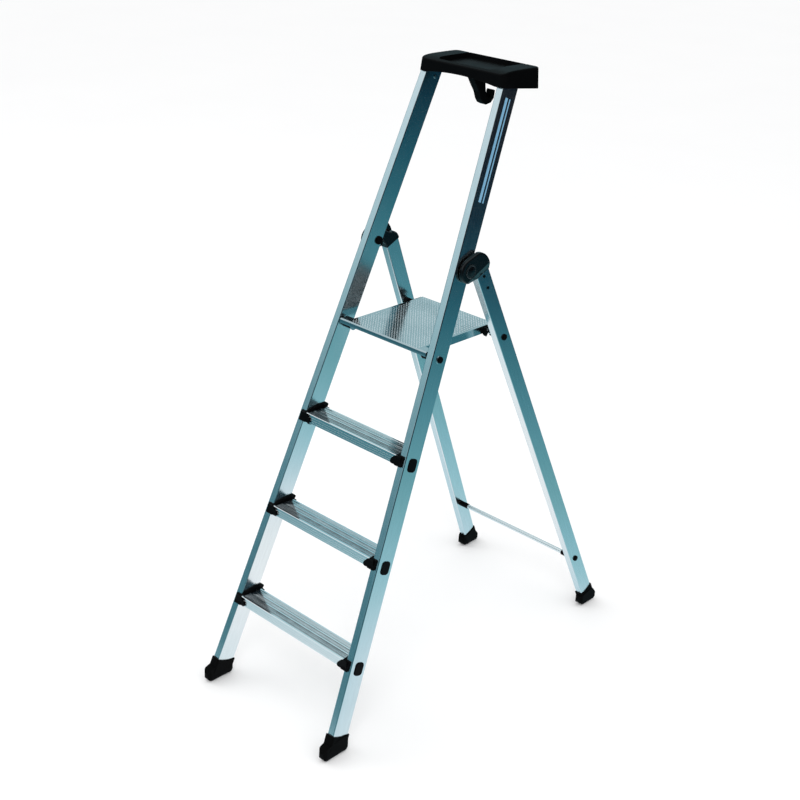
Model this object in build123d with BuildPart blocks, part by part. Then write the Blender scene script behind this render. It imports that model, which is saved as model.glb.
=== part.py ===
from build123d import *
import os
from math import radians, sin, cos, tan

os.makedirs("parts", exist_ok=True)

# Platform step ladder: three treads and a railed platform on two leaning
# stiles, with a folding pair of rear legs.
# Millimetres and degrees. +Z is up, the climber stands on the -Y side and
# faces +Y, +X is the climber's right. The floor is z = 0 and the origin is in
# the middle of the footprint.
# Paired pieces are built on the right (+X) and mirrored to the left.

# ---------------------------------------------------------------- dimensions
FOOT_Y = -549.2  # where the stile's front face meets the floor
FRONT_LEAN = 21.1  # stiles, from vertical
REAR_LEAN = 25.5  # rear legs, from vertical
STILE_DEPTH, STILE_WIDTH, STILE_WALL = 55.0, 20.5, 1.6
LEG_DEPTH, LEG_WIDTH, LEG_WALL = 44.0, 20.5, 1.5
TUBE_CORNER, CORE_CORNER = 2.5, 1.2  # outer and inner corner radii of the tubes
STILE_HALF, STILE_TAPER = 229.3, 0.065  # outer half width at floor, per mm up
LEG_HALF, LEG_TAPER = 239.8, 0.072
LEG_FOOT_Y = FOOT_Y + 1049.3  # front face of the rear leg at the floor
STILE_TOP_Z = 1566.0
TUBE_FOOT_Z = 6.0  # tubes stop this far above the floor, inside the shoes
BLANK_LOW, STILE_BLANK_HIGH = -60, 1760  # uncut tube ends, along the tube

RUN = 0.05  # running clearance, and the gap under seated heads
SNUG = 0.02  # closer clearance

RISE = 240.0  # tread to tread
TREAD_TOPS = [RISE, 2 * RISE, 3 * RISE]
TREAD_DEPTH, TREAD_HEIGHT, TREAD_WALL = 64.0, 26.0, 2.2
TREAD_NOSE = 7.0  # nosing stands this far proud of the stile's front face
TREAD_END_GAP = 0.4  # between the tread's end and the bracket flange
FLANGE_THICK = 6.0  # bracket flange against the stile

# Oblong openings in the stile for the tread brackets and plugs
PLUG_ACROSS, PLUG_DROP = 1.5, 27.3  # centre, across the stile and below the tread
PLUG_WIDTH, PLUG_HEIGHT, PLUG_CORNER = 24.5, 31.0, 7.5
PLUG_FIT = 0.3  # plugs and tenons are this much smaller than the opening

PIVOT_Y, PIVOT_Z = FOOT_Y + 483.0, 1137.0  # rear leg hinge
CHEEK_X, CHEEK_THICK = 158.4, 10.0  # hinge cheek, outside the stile
PIN_RADIUS = 4.0  # hinge and platform bolts
NUT_RADIUS = 7.4  # over the corners
KNUCKLE_RIVET_DOWN = (51.0, 86.0)  # down the leg from the hinge
KNUCKLE_RIVET_RADIUS = 2.4

DECK_Z = 955.0
DECK_HALF = 120.0
DECK_FRONT, DECK_REAR = FOOT_Y + 366.0, FOOT_Y + 649.0
NOSING_HALF = 144.6  # nosing, clear of the stiles
DECK_THICK = 2.0
DECK_SKIRT = 20.0
DECK_PIVOT_Y, DECK_PIVOT_Z = FOOT_Y + 391.0, 937.0
ROD_Y, ROD_Z, ROD_RADIUS = FOOT_Y + 628.0, 936.0, 5.0

BRACE_Y, BRACE_Z = FOOT_Y + 987.0, 177.0
BRACE_RADIUS, BRACE_WALL, BRACE_HALF = 6.0, 1.5, 190.0
BRACE_BOLT_RADIUS = 3.0

TRAY_HALF = 133.0
TRAY_FRONT, TRAY_REAR = FOOT_Y + 591.0, FOOT_Y + 730.0
TRAY_TOP = 1581.0
TRAY_WALL = 3.0
TRAY_FLOOR_Z = 1571.0  # bottom of the recess on top
TRAY_RIVET_ACROSS, TRAY_RIVET_Z = 8.0, 1530.0
RIVET_BORE = 2.45  # bore radius for the tray and knuckle rivets

BORE_FROM = 400.0  # bores start here, beyond every piece, and run back to x = 0
FROM_BASE = (Align.CENTER, Align.CENTER, Align.MIN)

# -------------------------------------------------------------------- frames
FRONT_TAN, FRONT_SIN, FRONT_COS = (f(radians(FRONT_LEAN)) for f in (tan, sin, cos))
REAR_TAN, REAR_SIN, REAR_COS = (f(radians(REAR_LEAN)) for f in (tan, sin, cos))


def member_frame(x, y, slope_x, slope_y):
    """Frame of a leaning tube: z along it, x outwards, y across its depth."""
    up = Vector(slope_x, slope_y, 1).normalized()
    out = (Vector(1, 0, 0) - up * up.X).normalized()
    return Plane(origin=(x, y, 0), x_dir=out, z_dir=up)


def face_plane(frame, half):
    """Plane on a tube's side face: x across the depth, y up, z outwards."""
    return Plane(
        origin=frame.origin + frame.x_dir * half,
        x_dir=frame.y_dir,
        z_dir=frame.x_dir,
    )


STILE = member_frame(
    STILE_HALF - STILE_WIDTH / 2,
    FOOT_Y + STILE_DEPTH / 2 / FRONT_COS,
    -STILE_TAPER,
    FRONT_TAN,
)
LEG = member_frame(
    LEG_HALF - LEG_WIDTH / 2,
    LEG_FOOT_Y + LEG_DEPTH / 2 / REAR_COS,
    -LEG_TAPER,
    -REAR_TAN,
)
STILE_OUT = face_plane(STILE, STILE_WIDTH / 2)
STILE_IN = face_plane(STILE, -STILE_WIDTH / 2)
LEG_OUT = face_plane(LEG, LEG_WIDTH / 2)


def side(x):
    """Side-view plane: local x is +Y, local y is +Z, the normal is +X."""
    return Plane(origin=(x, 0, 0), x_dir=(0, 1, 0), z_dir=(1, 0, 0))


def front(y):
    """Front-view plane: local x is +X, local y is +Z, the normal is -Y."""
    return Plane(origin=(0, y, 0), x_dir=(1, 0, 0), z_dir=(0, -1, 0))


def along_x(x, y, z):
    """A place whose own z axis points along +X."""
    return Location((x, y, z), (0, 90, 0))


def bore_at(y, z):
    """Where a bore along X starts."""
    return along_x(BORE_FROM, y, z)


def hinge_point(across, down):
    """Side-view point from the hinge axis, across and down the rear leg."""
    return (
        PIVOT_Y + across * REAR_COS + down * REAR_SIN,
        PIVOT_Z + across * REAR_SIN - down * REAR_COS,
    )


def stile_x(z):
    """Outer face of the stile."""
    return STILE_HALF - STILE_TAPER * z


def leg_x(z):
    """Outer face of the rear leg."""
    return LEG_HALF - LEG_TAPER * z


def stile_y(z):
    """Front face of the stile."""
    return FOOT_Y + z * FRONT_TAN


def stile_up(z, across):
    """Distance up the stile frame of a point at height z, across its depth."""
    return (z + across * FRONT_SIN) / STILE.z_dir.Z


def plug_spot(top):
    """Centre of the opening for the tread at this height, on the stile's side."""
    return (PLUG_ACROSS, stile_up(top - PLUG_DROP, PLUG_ACROSS))


# Distance up the leg frame of the hinge axis, and where the tube ends.
LEG_PIVOT = LEG.to_local_coords(Vector(leg_x(PIVOT_Z), PIVOT_Y, PIVOT_Z)).Z
LEG_TOP = LEG_PIVOT - 29.0

PLUG_SPOTS = [plug_spot(top) for top in TREAD_TOPS]
TRAY_RIVET_SPOT = (TRAY_RIVET_ACROSS, stile_up(TRAY_RIVET_Z, TRAY_RIVET_ACROSS))
KNUCKLE_RIVET_SPOTS = [(0, LEG_PIVOT - down) for down in KNUCKLE_RIVET_DOWN]


# ------------------------------------------------------------------- helpers
def shifted(points, x, y):
    """Two-column table of points moved to start from (x, y)."""
    return [(x + across, y + up) for across, up in points]


def edges_facing(candidates, direction):
    """Edges of the flat faces that look in a direction."""
    return candidates.filter_by(lambda f: f.normal_at().dot(direction) > 0.99).edges()


def bar(frame, width, depth, corner, low, high):
    """Solid rounded bar along a member's frame."""
    with BuildPart() as solid:
        with BuildSketch(frame.offset(low)):
            RectangleRounded(width, depth, corner)
        extrude(amount=high - low)
    return solid.part


def above_foot(solid):
    """The part of a bar above the lower end of the tubes."""
    with BuildPart() as trimmed:
        add(solid)
        split(bisect_by=Plane.XY.offset(TUBE_FOOT_Z), keep=Keep.TOP)
    return trimmed.part


def save(name, part):
    part.label = name
    export_step(part, f"parts/{name}.step")


def save_pair(name, right):
    """Save a right-hand piece and its mirror image."""
    save(f"{name}_right", right)
    with BuildPart() as left:
        mirror(right, about=Plane.YZ)
    save(f"{name}_left", left.part)


STILE_SOLID = bar(
    STILE, STILE_WIDTH, STILE_DEPTH, TUBE_CORNER, BLANK_LOW, STILE_BLANK_HIGH
)
LEG_SOLID = bar(LEG, LEG_WIDTH, LEG_DEPTH, TUBE_CORNER, BLANK_LOW, LEG_TOP)
STILE_CORE = bar(
    STILE,
    STILE_WIDTH - 2 * STILE_WALL,
    STILE_DEPTH - 2 * STILE_WALL,
    CORE_CORNER,
    BLANK_LOW,
    STILE_BLANK_HIGH,
)
LEG_CORE = bar(
    LEG,
    LEG_WIDTH - 2 * LEG_WALL,
    LEG_DEPTH - 2 * LEG_WALL,
    CORE_CORNER,
    BLANK_LOW,
    LEG_TOP + 5,
)


# ================================================================ front frame
with BuildPart() as stile:
    add(STILE_SOLID)
    add(STILE_CORE, mode=Mode.SUBTRACT)
    split(bisect_by=Plane.XY.offset(TUBE_FOOT_Z), keep=Keep.TOP)
    split(bisect_by=Plane.XY.offset(STILE_TOP_Z), keep=Keep.BOTTOM)
    # oblong openings for the tread brackets and their plugs
    with BuildSketch(STILE_OUT.offset(2)):
        with Locations(*PLUG_SPOTS):
            RectangleRounded(PLUG_WIDTH, PLUG_HEIGHT, PLUG_CORNER)
    extrude(amount=-STILE_WIDTH - 4, mode=Mode.SUBTRACT)
    # hinge bolt and platform bolt
    with Locations(bore_at(PIVOT_Y, PIVOT_Z), bore_at(DECK_PIVOT_Y, DECK_PIVOT_Z)):
        Hole(PIN_RADIUS + RUN, depth=BORE_FROM)
    # tray rivet, inner wall only
    with BuildSketch(STILE_IN.offset(-1)):
        with Locations(TRAY_RIVET_SPOT):
            Circle(RIVET_BORE)
    extrude(amount=6, mode=Mode.SUBTRACT)
save_pair("stile", stile.part)

# -------------------------------------------------------------------- treads
RIB_HEIGHT = 1.6  # of the tallest ribs, above the groove floor
RIBS = [  # (start, end, height above the groove floor), back from the nosing
    (0.0, 6.5, RIB_HEIGHT),
    (9.5, 11.0, 0.9),
    (12.5, 14.0, 0.9),
    (15.5, 17.0, 0.9),
    (18.5, 20.0, 0.9),
    (23.0, 27.5, RIB_HEIGHT),
    (30.0, 31.5, 0.7),
    (33.0, 34.5, 0.7),
    (36.0, 37.5, 0.7),
    (40.0, 44.5, RIB_HEIGHT),
    (47.0, 48.5, 0.9),
    (50.0, 51.5, 0.9),
    (53.0, 54.5, 0.9),
    (57.5, 62.0, 1.3),
]
TREAD_REAR_DROP = 20.0  # height of the tread's rear wall
FRONT_LIP, REAR_LIP = 9.0, 7.0  # flanges turned in under the tread
NOSE_BEVEL = 1.2
NOSE_GROOVES = (-20.5, -14.5, -8.5)  # lower edges of the front face's grooves
NOSE_GROOVE_DEPTH = 0.8


def tread_outline():
    """Closed outline of the tread extrusion, as (y from the nosing, z from the top)."""
    floor = -RIB_HEIGHT
    points = [(NOSE_BEVEL, 0.0)]
    for start, end, height in RIBS:
        if start > 0:
            points += [(start, floor), (start, floor + height)]
        points += [(end, floor + height), (end, floor)]
    rear, wall = TREAD_DEPTH, TREAD_WALL
    points += [
        (rear - 1.0, floor),
        (rear, -3.5),
        (rear, -TREAD_REAR_DROP),
        (rear - REAR_LIP, -TREAD_REAR_DROP),
        (rear - REAR_LIP, -TREAD_REAR_DROP + wall),
        (rear - wall, -TREAD_REAR_DROP + wall),
        (rear - wall, floor - wall),
        (wall, floor - wall),
        (wall, -TREAD_HEIGHT + wall),
        (FRONT_LIP, -TREAD_HEIGHT + wall),
        (FRONT_LIP, -TREAD_HEIGHT),
        (1.0, -TREAD_HEIGHT),
        (0.0, -TREAD_HEIGHT + 1.0),
    ]
    for z in NOSE_GROOVES:
        points += [
            (0.0, z),
            (NOSE_GROOVE_DEPTH, z + 0.5),
            (NOSE_GROOVE_DEPTH, z + 1.5),
            (0.0, z + 2.0),
        ]
    return points + [(0.0, -NOSE_BEVEL)]


def make_tread(top):
    half = stile_x(top) - STILE_WIDTH - FLANGE_THICK - TREAD_END_GAP
    with BuildPart() as tread:
        with BuildSketch(side(-half)):
            with BuildLine():
                Polyline(
                    *shifted(tread_outline(), stile_y(top) - TREAD_NOSE, top),
                    close=True,
                )
            make_face()
        extrude(amount=2 * half)
    return tread.part


# ------------------------------------------------------------ tread brackets
# One moulding used at every tread end: a flange on the stile's inner face, a
# wing that wraps the stile's front, a cap on the end of the nosing, a tongue
# under the tread, a heel behind it and a tenon into the stile.
# Side outlines: (y from the stile's front face, z from the tread top)
FLANGE_OUTLINE = [
    (-4.0, 0.8),
    (12.0, 1.6),
    (38.0, 6.0),
    (66.0, 6.5),
    (71.0, 1.0),
    (59.0, -20.0),
    (42.0, -25.5),
    (-13.6, -25.5),
]
WING_OUTLINE = [(-4.0, 0.8), (8.0, 0.8), (-2.0, -23.5), (-13.9, -23.5), (-12.9, -19.5)]
# Front outline: (x from the stile's inner face, z from the tread top)
CAP_OUTLINE = [
    (10.5, -22.5),
    (10.5, -1.0),
    (7.0, 1.0),
    (-4.5, 1.0),
    (-11.0, -3.0),
    (-18.5, -11.0),
    (-21.5, -17.0),
    (-20.5, -22.5),
    (-17.5, -24.0),
]
# Side outlines: (y from the nosing, z from the tread top)
TREAD_FIT = 0.3  # gap between the tread and the bracket
TONGUE_FRONT = TREAD_WALL + TREAD_FIT
TONGUE_REAR = TREAD_DEPTH - TREAD_WALL - TREAD_FIT
TONGUE_TOP = -(RIB_HEIGHT + TREAD_WALL + TREAD_FIT)
TONGUE_LOW = -17.0
TONGUE_OUTLINE = [
    (TONGUE_FRONT, TONGUE_TOP),
    (TONGUE_REAR, TONGUE_TOP),
    (TONGUE_REAR, TONGUE_LOW),
    (TONGUE_FRONT, TONGUE_LOW),
]
HEEL_OUTLINE = [
    (TREAD_DEPTH + TREAD_FIT, -2.0),
    (TREAD_DEPTH + 5.0, -2.5),
    (TREAD_DEPTH + 3.5, -17.0),
    (TREAD_DEPTH + TREAD_FIT, -19.0),
]
CAP_THICK = 4.2
TONGUE_LENGTH, HEEL_LENGTH = 30, 12  # inwards from the flange
TENON_LENGTH = 11
TENON_HOLLOW = 7  # the tenon's hollow is this much smaller than the opening


def make_bracket(top):
    y = stile_y(top)
    nose = y - TREAD_NOSE
    stile_inner = stile_x(top) - STILE_WIDTH
    flange_inner = stile_inner - FLANGE_THICK
    pieces = (  # (plane, outline, corner radius, thickness)
        (side(flange_inner), shifted(FLANGE_OUTLINE, y, top), 1.9, FLANGE_THICK + 3),
        (side(flange_inner), shifted(WING_OUTLINE, y, top), 0, FLANGE_THICK + 15),
        (
            front(nose - TREAD_FIT),
            shifted(CAP_OUTLINE, stile_inner, top),
            1.4,
            CAP_THICK,
        ),
        (
            side(flange_inner - TONGUE_LENGTH),
            shifted(TONGUE_OUTLINE, nose, top),
            0,
            TONGUE_LENGTH + 1,
        ),
        (
            side(flange_inner - HEEL_LENGTH),
            shifted(HEEL_OUTLINE, nose, top),
            0,
            HEEL_LENGTH + 1,
        ),
    )
    with BuildPart() as bracket:
        for plane, outline, corner, thickness in pieces:
            with BuildSketch(plane):
                with BuildLine():
                    Polyline(*outline, close=True)
                make_face()
                if corner:
                    fillet(vertices(), corner)
            extrude(amount=thickness)
        add(STILE_SOLID, mode=Mode.SUBTRACT)
        # hollow tenon through the stile's inner wall
        with BuildSketch(STILE_IN.offset(-2)):
            with Locations(plug_spot(top)):
                RectangleRounded(
                    PLUG_WIDTH - PLUG_FIT,
                    PLUG_HEIGHT - PLUG_FIT,
                    PLUG_CORNER - PLUG_FIT / 2,
                )
                RectangleRounded(
                    PLUG_WIDTH - TENON_HOLLOW,
                    PLUG_HEIGHT - TENON_HOLLOW,
                    PLUG_CORNER - TENON_HOLLOW / 2,
                    mode=Mode.SUBTRACT,
                )
        extrude(amount=TENON_LENGTH)
    return bracket.part


for number, tread_top in enumerate(TREAD_TOPS, start=1):
    save(f"tread_{number}", make_tread(tread_top))
    save_pair(f"tread_bracket_{number}", make_bracket(tread_top))

# --------------------------------------------------------------- tread plugs
# Oblong plugs that close the outer openings, three on each side.
PLUG_LIP = 3  # the plug's head is this much larger than the opening
PLUG_HEAD_THICK, PLUG_HEAD_BEVEL = 2.6, 0.9
PLUG_HOLLOW = 5  # the plug's hollow is this much smaller than the opening
PLUG_REACH = 7

with BuildPart() as tread_plugs:
    with BuildSketch(STILE_OUT.offset(RUN)):
        with Locations(*PLUG_SPOTS):
            RectangleRounded(
                PLUG_WIDTH + PLUG_LIP, PLUG_HEIGHT + PLUG_LIP, PLUG_CORNER + PLUG_LIP / 2
            )
    extrude(amount=PLUG_HEAD_THICK)
    chamfer(edges_facing(faces(), STILE_OUT.z_dir), PLUG_HEAD_BEVEL)
    with BuildSketch(STILE_OUT.offset(0.1)):
        with Locations(*PLUG_SPOTS):
            RectangleRounded(
                PLUG_WIDTH - PLUG_FIT, PLUG_HEIGHT - PLUG_FIT, PLUG_CORNER - PLUG_FIT / 2
            )
            RectangleRounded(
                PLUG_WIDTH - PLUG_HOLLOW,
                PLUG_HEIGHT - PLUG_HOLLOW,
                PLUG_CORNER - PLUG_HOLLOW / 2,
                mode=Mode.SUBTRACT,
            )
    extrude(amount=-PLUG_REACH)
save_pair("tread_plugs", tread_plugs.part)

# ------------------------------------------------------------ hinge hardware
# Hinge bolt: large low head on the stile's inner face, shank out through the
# knuckle's cheek.
HINGE_HEAD_X, HINGE_HEAD_RADIUS, HINGE_HEAD_LENGTH = 129.6, 10.6, 7.0
HINGE_SHANK_X, HINGE_SHANK_LENGTH = 131.0, 36.2
HINGE_NUT_X, HINGE_NUT_THICK = CHEEK_X + 5.2, 3.4
SPACER_X, SPACER_RADIUS = 152.0, 13.0

with BuildPart() as hinge_bolt:
    with Locations(along_x(HINGE_HEAD_X, PIVOT_Y, PIVOT_Z)):
        Cylinder(HINGE_HEAD_RADIUS, HINGE_HEAD_LENGTH, align=FROM_BASE)
    fillet(faces().sort_by(Axis.X)[0].edges(), 2.2)
    add(STILE_SOLID, mode=Mode.SUBTRACT)
    with Locations(along_x(HINGE_SHANK_X, PIVOT_Y, PIVOT_Z)):
        Cylinder(PIN_RADIUS, HINGE_SHANK_LENGTH, align=FROM_BASE)
save_pair("hinge_bolt", hinge_bolt.part)

with BuildPart() as hinge_nuts:
    with BuildSketch(side(HINGE_NUT_X)):
        with Locations((PIVOT_Y, PIVOT_Z)):
            RegularPolygon(NUT_RADIUS, 6)
            Circle(PIN_RADIUS, mode=Mode.SUBTRACT)
    extrude(amount=HINGE_NUT_THICK)
    mirror(about=Plane.YZ)
save("hinge_nuts", hinge_nuts.part)

# Spacer that fills the wedge between the leaning stile and the upright cheek.
with BuildPart() as hinge_spacer:
    with Locations(along_x(SPACER_X, PIVOT_Y, PIVOT_Z)):
        Cylinder(SPACER_RADIUS, CHEEK_X - 0.1 - SPACER_X, align=FROM_BASE)
    add(STILE_SOLID, mode=Mode.SUBTRACT)
    with Locations(bore_at(PIVOT_Y, PIVOT_Z)):
        Hole(PIN_RADIUS + RUN, depth=BORE_FROM)
save_pair("hinge_spacer", hinge_spacer.part)

# --------------------------------------------------- platform pivot hardware
# Washer and domed head on the stile's outer face, nut inside the skirt.
DECK_SEAT = STILE_OUT.to_local_coords(
    Vector(stile_x(DECK_PIVOT_Z), DECK_PIVOT_Y, DECK_PIVOT_Z)
)
WASHER_THICK, WASHER_RADIUS = 1.3, 10.6
DECK_HEAD_RADIUS, DECK_HEAD_THICK, DECK_HEAD_ROUND = 8.2, 4.2, 2.4
DECK_SHANK_X = 112.6
DECK_NUT_X, DECK_NUT_THICK = 113.6, 4.2
BUSH_RADIUS, BUSH_LENGTH = 10.8, 30.0

with BuildPart() as platform_bolt:
    with BuildSketch(STILE_OUT.offset(RUN + WASHER_THICK + RUN)):
        with Locations((DECK_SEAT.X, DECK_SEAT.Y)):
            Circle(DECK_HEAD_RADIUS)
    extrude(amount=DECK_HEAD_THICK)
    fillet(faces().sort_by(Axis.X)[-1].edges(), DECK_HEAD_ROUND)
    with Locations(along_x(DECK_SHANK_X, DECK_PIVOT_Y, DECK_PIVOT_Z)):
        Cylinder(
            PIN_RADIUS, stile_x(DECK_PIVOT_Z) + 2.5 - DECK_SHANK_X, align=FROM_BASE
        )
save_pair("platform_bolt", platform_bolt.part)

with BuildPart() as platform_washers:
    with BuildSketch(STILE_OUT.offset(RUN)):
        with Locations((DECK_SEAT.X, DECK_SEAT.Y)):
            Circle(WASHER_RADIUS)
            Circle(PIN_RADIUS + 0.5, mode=Mode.SUBTRACT)
    extrude(amount=WASHER_THICK)
    mirror(about=Plane.YZ)
save("platform_washers", platform_washers.part)

with BuildPart() as platform_nuts:
    with BuildSketch(side(DECK_NUT_X)):
        with Locations((DECK_PIVOT_Y, DECK_PIVOT_Z)):
            RegularPolygon(NUT_RADIUS, 6)
            Circle(PIN_RADIUS, mode=Mode.SUBTRACT)
    extrude(amount=DECK_NUT_THICK)
    mirror(about=Plane.YZ)
save("platform_nuts", platform_nuts.part)

# Bush that keeps the platform central between the stiles.
with BuildPart() as platform_bush:
    with Locations(along_x(DECK_HALF + 0.3, DECK_PIVOT_Y, DECK_PIVOT_Z)):
        Cylinder(BUSH_RADIUS, BUSH_LENGTH, align=FROM_BASE)
    fillet(faces().sort_by(Axis.X)[0].edges(), 1.2)
    add(STILE_SOLID, mode=Mode.SUBTRACT)
    with Locations(bore_at(DECK_PIVOT_Y, DECK_PIVOT_Z)):
        Hole(PIN_RADIUS + RUN, depth=BORE_FROM)
save_pair("platform_bush", platform_bush.part)

# --------------------------------------------------------------------- shoes
# Envelope of the sole: (height, trim off width and length, corner radius)
SOLE = ((0.0, 12.0, 6.2), (3.0, 4.6, 9.5), (9.0, 0.0, 12.0), (90.0, 0.0, 12.0))
SOLE_WIDTH = 24.9
BOOT_EXTRA = 4.4  # the boot is this much wider than the tube
CUFF_TOP = 57
SOLE_GROOVE_WIDTH, SOLE_GROOVE_HEIGHT = 3.0, 3.6  # half the height is below the floor
BEYOND, THROUGH = 20, 70  # cuts start this far outside the tube and run this far

# Side outlines: (y from the stile's foot, z)
FRONT_BOOT = [
    (6.0, 0.0),
    (-4.5, 7.0),
    (-8.0, 15.0),
    (-8.5, 26.0),
    (-3.0, 35.5),
    (14.0, 41.0),
    (44.0, 47.0),
    (74.0, 45.0),
    (78.0, 33.0),
    (77.0, 14.0),
    (70.0, 0.0),
]
REAR_BOOT = [
    (1043.0, 0.0),
    (1031.0, 7.0),
    (1025.5, 15.0),
    (1023.5, 24.0),
    (1026.0, 33.5),
    (1046.0, 40.0),
    (1074.0, 46.0),
    (1080.0, 43.0),
    (1099.0, 20.0),
    (1102.0, 12.0),
    (1096.0, 0.0),
]


def make_shoe(
    frame, outer_face, tube, foot_x, width, depth,
    boot, boot_corner, boot_inset, sole_inset, sole_y, sole_length,
    cuff_low, cuff_wall, cuff_corner, rim_low, rim_radius,
    groove_y, groove_pitch, groove_count,
):  # fmt: skip
    """A sleeve on a tube with a boot-shaped sole.

    foot_x is the tube's outer face at the floor. boot_inset is the boot's
    overhang inside the tube, sole_inset moves the sole's centre inwards.
    """
    with BuildPart() as shoe:
        # boot-shaped sole, rounded in plan and turned up round its edge
        with BuildSketch(side(foot_x - width - boot_inset)):
            with BuildLine():
                Polyline(*shifted(boot, FOOT_Y, 0.0), close=True)
            make_face()
            fillet(vertices().filter_by(lambda v: 10 < v.Y < 40), boot_corner)
        extrude(amount=width + BOOT_EXTRA)
        for z, trim, radius in SOLE:
            with BuildSketch(Plane.XY.offset(z)):
                with Locations((foot_x - width / 2 - sole_inset, sole_y)):
                    RectangleRounded(SOLE_WIDTH - trim, sole_length - trim, radius)
        loft(ruled=True, mode=Mode.INTERSECT)
        # cuff up the tube
        with BuildSketch(frame.offset(cuff_low)):
            RectangleRounded(width + 2 * cuff_wall, depth + 2 * cuff_wall, cuff_corner)
        extrude(amount=CUFF_TOP - cuff_low)
        # concave rim on the two broad sides
        with BuildSketch(outer_face.offset(BEYOND)):
            with Locations((0, rim_low + rim_radius)):
                Circle(rim_radius)
        extrude(amount=-THROUGH, mode=Mode.SUBTRACT)
        add(tube, mode=Mode.SUBTRACT)
        # grooves across the sole
        with BuildSketch(side(foot_x - width - BEYOND)):
            with Locations(
                *[(groove_y + groove_pitch * i, 0) for i in range(groove_count)]
            ):
                Rectangle(SOLE_GROOVE_WIDTH, SOLE_GROOVE_HEIGHT)
        extrude(amount=THROUGH, mode=Mode.SUBTRACT)
    return shoe.part


front_shoe = make_shoe(
    frame=STILE,
    outer_face=STILE_OUT,
    tube=above_foot(STILE_SOLID),
    foot_x=stile_x(0),
    width=STILE_WIDTH,
    depth=STILE_DEPTH,
    boot=FRONT_BOOT,
    boot_corner=4.0,
    boot_inset=3.0,
    sole_inset=0.8,
    sole_y=FOOT_Y + 34.75,
    sole_length=88.0,
    cuff_low=17,
    cuff_wall=3.4,
    cuff_corner=4.5,
    rim_low=53.0,
    rim_radius=122.0,
    groove_y=FOOT_Y + 14.0,
    groove_pitch=13.0,
    groove_count=5,
)
save_pair("front_shoe", front_shoe)

rear_shoe = make_shoe(
    frame=LEG,
    outer_face=LEG_OUT,
    tube=above_foot(LEG_SOLID),
    foot_x=leg_x(0),
    width=LEG_WIDTH,
    depth=LEG_DEPTH,
    boot=REAR_BOOT,
    boot_corner=3.0,
    boot_inset=2.6,
    sole_inset=0.4,
    sole_y=FOOT_Y + 1062.75,
    sole_length=80.0,
    cuff_low=16,
    cuff_wall=3.0,
    cuff_corner=4,
    rim_low=52.5,
    rim_radius=96.0,
    groove_y=FOOT_Y + 1060.0,
    groove_pitch=12.0,
    groove_count=4,
)
save_pair("rear_shoe", rear_shoe)

# ------------------------------------------------------------------ top tray
# A drafted cover with a shallow recess on top, open underneath, with a lug
# down into each stile.
TRAY_MID = (TRAY_FRONT + TRAY_REAR) / 2
TRAY_DEPTH = TRAY_REAR - TRAY_FRONT
TRAY_CORNER = 15
TRAY_CROWN = [  # (y, z) along the top, front to rear
    (TRAY_FRONT - 20, 1566.0),
    (TRAY_FRONT + 2, 1576.0),
    (TRAY_FRONT + 15, 1580.0),
    (TRAY_FRONT + 36, 1582.4),
    (TRAY_FRONT + 70, 1583.0),
    (TRAY_REAR, 1582.0),
    (TRAY_REAR + 20, 1580.5),
]
TRAY_HEM = [  # (y, z) along the lower edge, rear to front
    (TRAY_REAR + 20, 1534.5),
    (TRAY_REAR, 1534.5),
    (TRAY_REAR - 10, 1533.0),
    (TRAY_FRONT - 20, 1548.5),
]
CAVITY_FROM_Z = 1520
RECESS_WIDTH, RECESS_DEPTH, RECESS_CORNER = 168, 116, 12
ARCH_TOP_Z, ARCH_RADIUS = 1554.5, 718.0
RIM_GROOVE_X = 88
LUG_LOW_Z, LUG_LENGTH, LUG_FIT = 1512.0, 60, 0.3

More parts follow.
